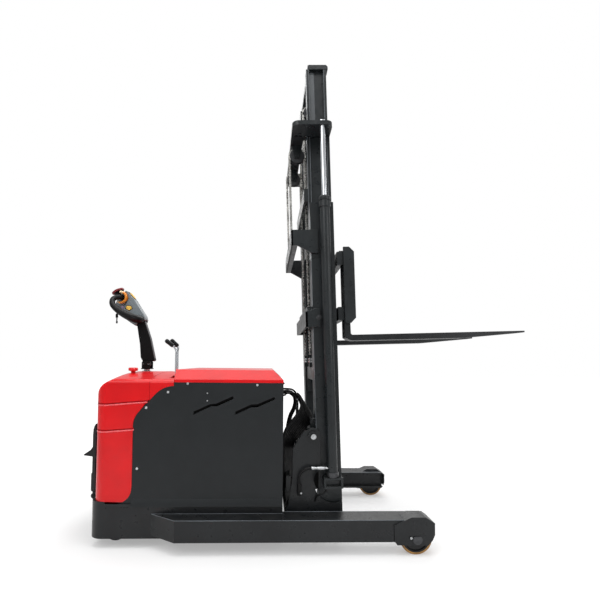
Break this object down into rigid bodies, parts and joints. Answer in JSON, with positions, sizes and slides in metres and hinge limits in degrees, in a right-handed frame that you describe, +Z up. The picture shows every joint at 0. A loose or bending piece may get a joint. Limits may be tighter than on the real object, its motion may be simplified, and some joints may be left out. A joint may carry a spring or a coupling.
{
  "type": "stand-on reach stacker",
  "caption": "Stand-on electric stacker with straddle legs, a reaching and tilting three-stage mast, forks, tiller steering and a fold-up platform.",
  "frame": {"origin": "middle of the bounding box at floor level", "axes": "+X forwards to the fork tips, +Y to the machine's left, +Z up"},
  "size_m": [2.7038, 1.178, 2.8974],
  "materials": {
    "black_paint": "semi-gloss charcoal black powder coat, fine orange peel",
    "mast_paint": "satin dark grey-black paint",
    "red_cover": "glossy red moulded cover",
    "dark_block": "dark grey battery case",
    "bare_steel": "machined steel",
    "chrome": "hard chrome rod",
    "red_button": "glossy red button",
    "lever_steel": "polished levers with black grips",
    "column_metal": "cast light metal",
    "tiller_black": "grained black plastic",
    "tiller_grey": "grained dark grey plastic",
    "grip_black": "soft black grip",
    "control_orange": "orange switches",
    "tread_tan": "tan polyurethane tread",
    "hub_black": "black painted cast hub",
    "caster_rubber": "dark grey rubber",
    "drive_tread": "brown polyurethane tread",
    "hose_rubber": "black hydraulic hose",
    "chain_steel": "oiled chain steel"
  },
  "bodies": {
    "chassis": {"chassis_frame": "black_paint", "side_panel_right": "black_paint", "side_panel_left": "black_paint", "rear_cowl": "red_cover", "leg_right": "black_paint", "leg_left": "black_paint", "load_axles": "bare_steel", "battery": "dark_block", "reach_barrel": "black_paint", "emergency_button": "red_button", "hydraulic_levers": "lever_steel"},
    "hood": {"hood_lid": "red_cover"},
    "platform": {"platform_deck": "black_paint"},
    "steering": {"steering_column": "column_metal", "drive_fork": "black_paint"},
    "tiller": {"tiller_arm": "tiller_black", "tiller_head": "tiller_grey", "tiller_grips": "grip_black", "tiller_controls": "control_orange"},
    "drive_wheel": {"drive_wheel": "drive_tread"},
    "caster_right": {"caster_fork_right": "black_paint"},
    "caster_left": {"caster_fork_left": "black_paint"},
    "caster_wheel_right": {"caster_wheel_right": "caster_rubber"},
    "caster_wheel_left": {"caster_wheel_left": "caster_rubber"},
    "load_wheel_right": {"load_tread_right": "tread_tan", "load_hub_right": "hub_black"},
    "load_wheel_left": {"load_tread_left": "tread_tan", "load_hub_left": "hub_black"},
    "reach_carriage": {"reach_side_right": "black_paint", "reach_side_left": "black_paint", "reach_ties": "black_paint", "guide_rollers": "bare_steel", "pivot_pins": "bare_steel", "reach_rod": "chrome", "feed_hoses": "hose_rubber", "tilt_barrels": "black_paint", "cylinder_hoses": "hose_rubber"},
    "tilt_rods": {"tilt_rods": "chrome"},
    "outer_mast": {"outer_rails": "mast_paint", "outer_brackets": "mast_paint", "lift_barrels": "mast_paint", "chain_outer_rear": "chain_steel"},
    "mid_mast": {"mid_rails": "mast_paint", "head_plate": "mast_paint", "lift_rods": "chrome", "lift_sheaves": "bare_steel", "chain_lift_front": "chain_steel"},
    "inner_mast": {"inner_rails": "mast_paint", "inner_ties": "mast_paint", "fork_sheaves": "bare_steel", "chain_fork_rear": "chain_steel"},
    "fork_carriage": {"carriage_frame": "mast_paint", "carriage_sides": "mast_paint", "fork_right": "black_paint", "fork_left": "black_paint", "chain_fork_front": "chain_steel"}
  },
  "joints": [
    {"name": "mast_reach", "type": "slide", "parent": "chassis", "child": "reach_carriage", "axis": [1, 0, 0], "range_m": [0, 0.5]},
    {"name": "mast_tilt", "type": "hinge", "parent": "reach_carriage", "child": "outer_mast", "pos_m": [0.05513, 0, 0.622], "axis": [0, 1, 0], "range_deg": [-3, 5], "deforming": ["cylinder_hoses"]},
    {"name": "tilt_rod_slide", "type": "slide", "parent": "reach_carriage", "child": "tilt_rods", "axis": [1, 0, 0], "range_m": [-0.026, 0.016]},
    {"name": "mast_lift", "type": "slide", "parent": "outer_mast", "child": "mid_mast", "axis": [-0.0349, 0, 0.9994], "range_m": [-0.371, 1.029], "deforming": ["chain_outer_rear"]},
    {"name": "inner_lift", "type": "slide", "parent": "mid_mast", "child": "inner_mast", "axis": [-0.0349, 0, 0.9994], "range_m": [-0.372, 1.03], "deforming": ["chain_lift_front", "chain_fork_rear"]},
    {"name": "carriage_lift", "type": "slide", "parent": "inner_mast", "child": "fork_carriage", "axis": [-0.0349, 0, 0.9994], "range_m": [-0.372, 1.03], "deforming": ["chain_fork_front"]},
    {"name": "hood_hinge", "type": "hinge", "parent": "chassis", "child": "hood", "pos_m": [-0.11887, 0, 0.928], "axis": [0, 1, 0], "range_deg": [0, 80]},
    {"name": "platform_fold", "type": "hinge", "parent": "chassis", "child": "platform", "pos_m": [-1.25987, 0, 0.24], "axis": [0, -1, 0], "range_deg": [0, 90]},
    {"name": "tiller_steer", "type": "hinge", "parent": "chassis", "child": "steering", "pos_m": [-1.03987, 0, 0.3], "axis": [0, 0, 1], "range_deg": [-90, 90]},
    {"name": "tiller_swing", "type": "hinge", "parent": "steering", "child": "tiller", "pos_m": [-1.03687, 0, 1.035], "axis": [0, -1, 0], "range_deg": [-10, 50]},
    {"name": "drive_spin", "type": "hinge", "parent": "steering", "child": "drive_wheel", "pos_m": [-1.03987, 0, 0.125], "axis": [0, 1, 0], "continuous": true},
    {"name": "caster_swivel_right", "type": "hinge", "parent": "chassis", "child": "caster_right", "pos_m": [-1.06987, -0.33, 0.17], "axis": [0, 0, 1], "continuous": true},
    {"name": "caster_swivel_left", "type": "hinge", "parent": "chassis", "child": "caster_left", "pos_m": [-1.06987, 0.33, 0.17], "axis": [0, 0, 1], "continuous": true},
    {"name": "caster_roll_right", "type": "hinge", "parent": "caster_right", "child": "caster_wheel_right", "pos_m": [-1.10387, -0.33, 0.065], "axis": [0, 1, 0], "continuous": true},
    {"name": "caster_roll_left", "type": "hinge", "parent": "caster_left", "child": "caster_wheel_left", "pos_m": [-1.10387, 0.33, 0.065], "axis": [0, 1, 0], "continuous": true},
    {"name": "load_roll_right", "type": "hinge", "parent": "chassis", "child": "load_wheel_right", "pos_m": [0.61413, -0.526, 0.09], "axis": [0, 1, 0], "continuous": true},
    {"name": "load_roll_left", "type": "hinge", "parent": "chassis", "child": "load_wheel_left", "pos_m": [0.61413, 0.526, 0.09], "axis": [0, 1, 0], "continuous": true}
  ],
  "couplings": [
    {"joint": "inner_lift", "follows": "mast_lift", "ratio": 1},
    {"joint": "carriage_lift", "follows": "mast_lift", "ratio": 1},
    {"joint": "tilt_rod_slide", "follows": "mast_tilt", "m_per_rad": -0.282}
  ]
}
